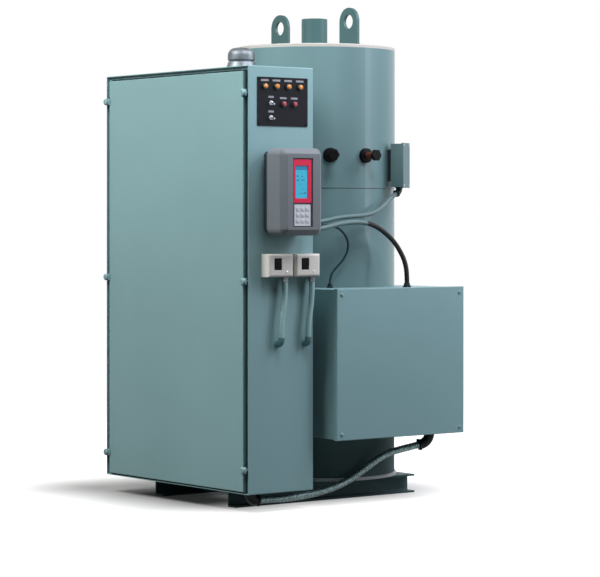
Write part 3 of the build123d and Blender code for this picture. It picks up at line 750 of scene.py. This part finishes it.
def from_side(points):
    """Points in mm from the cabinet's right wall, collar and floor, in the shared frame."""
    return [
        Vector((side_x + x / 1000, collar_y + y / 1000, cabinet_floor + z / 1000))
        for x, y, z in points
    ]


def nut(radius, height):
    """A chamfered hexagon nut, in mm."""
    flat = 0.86 * radius
    chamfer = 1.4
    profile = [(0, 0), (flat, 0), (radius, chamfer)]
    profile += [(radius, height - chamfer), (flat, height), (0, height)]
    return turned(profile, 6)


nut_sunk = Matrix.Translation((0, 0, -0.001))
junction_nuts = []
for place, out in (
    ((-151.3, 823.4, 1100.0), (0, 0, -1)),
    ((-149.1, 809.7, 1076.8), (0.141, -0.872, -0.469)),
):
    seat = facing(from_side([place])[0], out, (0, 1, 0))
    junction_nuts.append((nut(16, 6), seat @ nut_sunk))
fix("junction_nuts", joined("junction_nuts", fitting_dark, *junction_nuts))

# Element housing
# A sheet box coped to the jacket that covers the heating element terminals. Its skirted lid is held
# by four painted screws near the corners.
dress(teal_enamel, "element_housing", "element_lid")
to_right = (1, 0, 0)


def corner_spots(node, inset):
    """Spots near the four corners of a plate that faces right."""
    low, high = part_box(node)
    return [
        ((high[0], y, z), to_right)
        for y in (low[1] + inset, high[1] - inset)
        for z in (low[2] + inset, high[2] - inset)
    ]


lid_spots = corner_spots("element_lid", 0.022)
lid_screw = [(0, 0), (7.2, 0), (7.2, 0.7), (5.4, 1.1), (5.2, 3.0), (4.0, 4.0)]
lid_screw += [(2.0, 4.3), (1.8, 3.0), (0, 3.0)]
fix("lid_screws", stamped("lid_screws", teal_enamel, turned(lid_screw, 16), lid_spots))

# Indicator panel
# A black plate of pilot lights on the cabinet's side: amber and red domed lenses in dark bezels,
# two toggle switches, and a blank pale legend strip over each of them.
panel_black = enamel("panel_black", srgb(22, 24, 28), 0.5, gloss=0.08)
dress(panel_black, "panel_plate")
panel_low, panel_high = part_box("panel_plate")


def on_panel(right, up):
    """A place on the panel's face, in mm from its lower front corner."""
    return Vector((panel_high[0], panel_low[1] + right / 1000, panel_low[2] + up / 1000))


def lens(name, colour):
    """Tinted moulded plastic, deeper in the middle of its fluting."""
    made = Finish(name, colour, 0.22, Coat_Weight=0.4)
    made.paint(made.blend(made.noise(240.0, 3.0), tint(colour, 0.7), tint(colour, 1.15)))
    return made.relief((made.axis(1) * 2600.0).sine(), 0.0002)


lens_profile = [(0, 0), (8.6, 0), (8.6, 8.6), (8.0, 10.8), (6.2, 12.4), (3.4, 13), (0, 13)]
bezel_profile = [(0, 0), (11, 0), (11, 4.8), (10.2, 6), (9.0, 6), (8.7, 4.4), (0, 4.4)]
amber_places = [on_panel(31 + 52.5 * step, 141) for step in range(4)]
red_places = [on_panel(114 + 49 * step, 79) for step in range(2)]
switch_places = [on_panel(59.5, up) for up in (82, 30)]
lamp_rows = (
    ("amber_lens", srgb(212, 136, 44), amber_places, "panel_lamps_amber"),
    ("red_lens", srgb(160, 14, 42), red_places, "panel_lamps_red"),
)
for name, colour, places, node in lamp_rows:
    made = lens(name, colour)
    lens_spots = [(place, to_right) for place in places]
    fix(name, stamped(name, made, turned(lens_profile, 24), lens_spots), node)
bezel_spots = [(place, to_right) for place in amber_places + red_places]
bezel_grey = Finish("bezel_grey", srgb(70, 72, 78), 0.35, Metallic=0.8)
bezel_grey.rough(bezel_grey.noise(260.0, 3.0) * 0.2 + 0.28)
fix("lamp_bezels", stamped("lamp_bezels", bezel_grey, turned(bezel_profile, 24), bezel_spots))
chrome = Finish("chrome", srgb(158, 160, 164), 0.25, Metallic=1.0)
chrome.rough(chrome.noise(200.0, 3.0) * 0.2 + 0.18)
bat_profile = [(0, 0), (3.0, 0), (2.9, 6), (3.6, 12), (4.3, 15), (4.0, 16.4), (2.2, 17.2), (0, 17.4)]
bush_thread = thread(5.2, 5.9, start=0, pitch=1.5, rise=0.7, turns=4)
thread_profile = [(0, 0), *bush_thread, (5.2, 6.2), (4.2, 6.6), (0, 6.6)]
bat_lift = Vector((0.004, 0, 0))
bat_down = (1, 0, -0.3)
switches = []
for place in switch_places:
    flat = facing(place, to_right)
    lever = facing(place + bat_lift, bat_down)
    switches += [(nut(10, 3), flat), (turned(thread_profile, 20), flat), (turned(bat_profile, 20), lever)]
fix("toggle_switches", joined("toggle_switches", chrome, *switches), "panel_switches")
legend_pale = Finish("legend_pale", srgb(136, 138, 146), 0.5, Specular_IOR_Level=0.2)
legend_wear = legend_pale.noise(90.0, 3.0)
legend_pale.paint(legend_pale.blend(legend_wear, srgb(118, 120, 128), srgb(152, 154, 160)))
legend_over = Vector((0.0004, 0, 0.021))
legends = [
    (block(0.8, width, 7, 0.25, 1), Matrix.Translation(place + legend_over))
    for places, width in ((amber_places, 34), (red_places, 30), (switch_places, 24))
    for place in places
]
fix("panel_legends", joined("panel_legends", legend_pale, *legends))
panel_spots = corner_spots("panel_plate", 0.008)
fix("panel_screws", stamped("panel_screws", panel_black, turned(screw_profile, 12), panel_spots))

# Controller
# A moulded grey case with bevelled shoulders on a darker wall base. Its sunk window holds a red
# bezel round a blue screen, and a pale membrane keypad below.
case_grey = enamel("case_grey", srgb(106, 113, 117), 0.5, peel=0.00012, rounding=0.003)
dress(case_grey, "controller_case")
case_dark = enamel("case_dark", srgb(56, 62, 68), 0.5, peel=0.00012)
dress(case_dark, "controller_base")
bezel_red = enamel("bezel_red", srgb(205, 40, 74), 0.4, peel=0.00008, rounding=0.0008)
dress(bezel_red, "controller_bezel")
screen_low, screen_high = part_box("controller_screen")
screen_blue = Finish("screen_blue", srgb(74, 180, 206), 0.2)
screen_up = screen_blue.axis(2)
screen_along = screen_blue.axis(1)
rows = (screen_up * 420.0).sine() > 0.25
blocks = screen_blue.noise(1.0, 1.0, (1, 62.0, 34.0)) > 0.53
margin = 0.006
foot_margin = 0.012
head_margin = 0.030
inside = (screen_along > screen_low[1] + margin) * (screen_along < screen_high[1] - margin)
between = (screen_up > screen_low[2] + foot_margin) * (screen_up < screen_high[2] - head_margin)
marks = rows * blocks * inside * between
header = (screen_up > screen_high[2] - 0.016) * 0.85
lit = screen_blue.blend(marks * 0.75, srgb(52, 178, 208), srgb(20, 88, 142))
screen_blue.paint(screen_blue.blend(header, lit, srgb(26, 110, 156)))
dress(screen_blue, "controller_screen")
keypad_grey = enamel("keypad_grey", srgb(196, 200, 204), 0.5, rounding=0.0008)
dress(keypad_grey, "controller_keypad")
keypad_low, keypad_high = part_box("controller_keypad")
key_grey = enamel("key_grey", srgb(180, 185, 190), 0.45, rounding=0.0)
key_pitch = 0.021
key_x = keypad_high[0] + 0.0004
key_y = (keypad_low[1] + keypad_high[1]) / 2
key_z = (keypad_low[2] + keypad_high[2]) / 2
keys = []
for column in (-1, 0, 1):
    for row in (-1, 0, 1):
        key_place = Matrix.Translation((key_x, key_y + key_pitch * column, key_z + key_pitch * row))
        keys.append((block(1.6, 15, 13, 0.7), key_place))
fix("keypad_keys", joined("keypad_keys", key_grey, *keys))

# Limit controls
# Two beige pressed-steel temperature controls. Each has a dark window with a setting dial behind it
# and a screw below, and a flexible conduit that leaves by a squeeze connector.
limit_beige = enamel("limit_beige", srgb(214, 212, 204), 0.45, rounding=0.003)
dress(limit_beige, "limit_control_front", "limit_control_rear")
dial_black = enamel("dial_black", srgb(9, 9, 10), 0.4, rounding=0.0, gloss=0.06)
dress(dial_black, "limit_dials")
dial_profile = [(0, 0), (12.5, 0), (12.5, 1.0), (11.6, 1.7), (5.0, 1.8), (4.4, 1.2), (0, 1.2)]
conduit_out = 24
mouth_up = 772
dial_spots, limit_spots, collars = [], [], []
collar_profile = [(0, 0), (13.0, 0), (13.0, 6), (11.4, 6.6), (11.4, 8.6), (13.4, 9.6), (12.8, 14)]
collar_profile += [(11.0, 18), (0, 18)]
for node in ("limit_control_front", "limit_control_rear"):
    low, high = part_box(node)
    dial_spots.append(((high[0] - 0.002, low[1] + 0.041, low[2] + 0.046), to_right))
    limit_spots.append(((high[0], low[1] + 0.080, low[2] + 0.018), to_right))
    mouth = from_side([(conduit_out, (low[1] - collar_y) * 1000 + 88, mouth_up)])[0]
    seat = facing(mouth, (0, 0, -1), (0, 1, 0))
    collars += [(turned(collar_profile, 28), seat), (nut(15.5, 5), seat)]
fix("limit_dial_discs", stamped("limit_dial_discs", dial_black, turned(dial_profile, 28), dial_spots))
fix("limit_screws", stamped("limit_screws", screw_zinc, turned(screw_profile, 12), limit_spots))
fix("limit_collars", joined("limit_collars", zinc, *collars), "limit_connectors")


# Leads
# Sheathed conduits and cables between the cabinet, the vessel and the element housing. Each hangs
# in its own curve between the two fittings that hold it.
def route(points):
    """The smooth line through a lead's control points."""
    curve = bpy.data.curves.new("route", "CURVE")
    curve.dimensions = "3D"
    curve.resolution_u = 12
    line = curve.splines.new("NURBS")
    line.points.add(len(points) - 1)
    for control, point in zip(line.points, points):
        control.co = (*point, 1)
    line.order_u = 3
    line.use_endpoint_u = True
    return curve


def lead(node, points, radius, made):
    """A sheathed lead along its points."""
    curve = route(points)
    curve.bevel_depth = radius
    curve.bevel_resolution = 6
    curve.use_fill_caps = True
    curve.materials.append(made.material)
    piece = fix(node + "_line", curve, node)


def sheath(name, colour, roughness):
    """Extruded sheath with a faint mottle and handling dirt."""
    made = Finish(name, colour, roughness, Specular_IOR_Level=0.2)
    made.paint(made.blend(made.noise(70.0, 4.0), tint(colour, 0.86), tint(colour, 1.12)))
    made.rough(made.noise(130.0, 3.0) * 0.2 + (roughness - 0.1))
    return made.relief(made.noise(800.0, 2.0), 0.00008)


elbow_teal = enamel("elbow_teal", srgb(82, 116, 118), 0.4, rounding=0.002)
dress(elbow_teal, "limit_elbows")
limit_grey = sheath("limit_grey", srgb(136, 170, 168), 0.42)
for node, back in (("limit_conduit_front", 145), ("limit_conduit_rear", 267)):
    limit_route = [
        (conduit_out, back, 754),
        (conduit_out, back, 712),
        (conduit_out, back - 5, 660),
        (conduit_out, back - 16, 606),
        (conduit_out, back - 16, 556),
    ]
    lead(node, from_side(limit_route), 0.010, limit_grey)

sheath_pale = sheath("sheath_pale", srgb(94, 118, 118), 0.45)
junction_route = [
    (-66, 306, 968),
    (-66, 346, 968),
    (-72, 400, 971),
    (-84, 470, 984),
    (-94, 545, 989),
    (-103, 610, 992),
    (-111, 674, 1003),
    (-122, 726, 1030),
    (-143.2, 773.0, 1057.0),
    (-149.1, 809.7, 1076.8),
]
lead("junction_lead", from_side(junction_route), 0.0085, sheath_pale)

element_sheath = sheath("element_sheath", srgb(24, 32, 33), 0.4)
# Painted reflection: the black lead's first run from the cabinet is painted pale, standing in for top
# light reflected off it, and turns black at a sharp edge.
sheen_end = collar_y + 0.610
sheen_edge = 0.004
sheen_share = element_sheath.axis(1).ramp(sheen_end + sheen_edge, sheen_end - sheen_edge)
element_sheath.paint(element_sheath.blend(sheen_share, srgb(12, 16, 17), srgb(94, 118, 118)))
element_route = [
    (-46, 306, 942),
    (-46, 350, 942),
    (-56, 410, 951),
    (-68, 470, 962),
    (-78, 540, 968),
    (-84, 600, 966),
    (-85, 648, 955),
    (-81, 692, 931),
    (-75, 733, 896),
    (-65, 758, 856),
    (-52, 769, 818),
    (-42, 770, 776.5),
    (-42, 770, 738.5),
]
lead("element_lead", from_side(element_route), 0.009, element_sheath)

sensor_sheath = sheath("sensor_sheath", srgb(34, 62, 66), 0.4)
sensor_route = [
    (-96, 306, 950),
    (-96, 346, 950),
    (-98, 395, 955),
    (-102, 450, 957),
    (-110, 503, 943),
    (-119, 540, 915),
    (-125, 557, 884),
    (-131, 554, 852),
    (-139, 538, 822),
    (-149, 514, 796),
    (-154.7, 491.9, 766.5),
    (-154.7, 491.9, 738.5),
]
lead("sensor_lead", from_side(sensor_route), 0.0045, sensor_sheath)

# Supply conduit
# Flexible ribbed metal conduit that sags from a bent fitting under the element housing to the floor
# and turns up into the cabinet, with a hexagon collar on each fitting.
fitting_black = enamel("fitting_black", srgb(18, 26, 27), 0.38, rounding=0.002, gloss=0.1)
dress(fitting_black, "supply_elbow", "supply_entry_elbow")
conduit_teal = Finish("conduit_teal", srgb(82, 110, 111), 0.36, Metallic=0.55)
# Partly painted highlight: random pale speckles over the dark metal, standing in for glints of light on
# the ribs.
speckle_and_glint = conduit_teal.noise(260.0, 4.0).ramp(0.42, 0.62)
conduit_teal.paint(conduit_teal.blend(speckle_and_glint, srgb(50, 73, 75), srgb(146, 170, 170)))
conduit_teal.rough(conduit_teal.noise(180.0, 3.0) * 0.3 + 0.25)
supply_route = [
    (-46.0, 833.4, 129.8),
    (-62.0, 789.2, 119.8),
    (-88, 722, 104),
    (-106, 672, 76),
    (-119, 615, 38),
    (-125, 545, 1),
    (-125, 450, -24),
    (-120, 335, -37),
    (-110, 240, -38),
    (-98, 168, -34),
    (-98, 112, -34),
]
supply_points = from_side(supply_route)
supply_holder = bpy.data.objects.new("supply_route", route(supply_points))
bpy.context.scene.collection.objects.link(supply_holder)
supply_wire = bpy.data.meshes.new_from_object(
    supply_holder.evaluated_get(bpy.context.evaluated_depsgraph_get())
)
bpy.data.objects.remove(supply_holder)
supply_radius = 0.014
supply_mesh = bead.run(
    "supply_conduit_ribbed",
    supply_wire,
    radius=supply_radius * 0.94,
    ripple=0.065,
    pitch=0.0105,
    finish=conduit_teal.material,
)
supply_piece = fix("supply_conduit_ribbed", supply_mesh, "supply_conduit")
supply_ends = ((supply_points[0], supply_points[1]), (supply_points[-1], supply_points[-2]))
collar_back = Matrix.Translation((0, 0, -0.004))
supply_nuts = [(nut(24, 9), facing(end, end - near) @ collar_back) for end, near in supply_ends]
fix("supply_nuts", joined("supply_nuts", fitting_black, *supply_nuts))
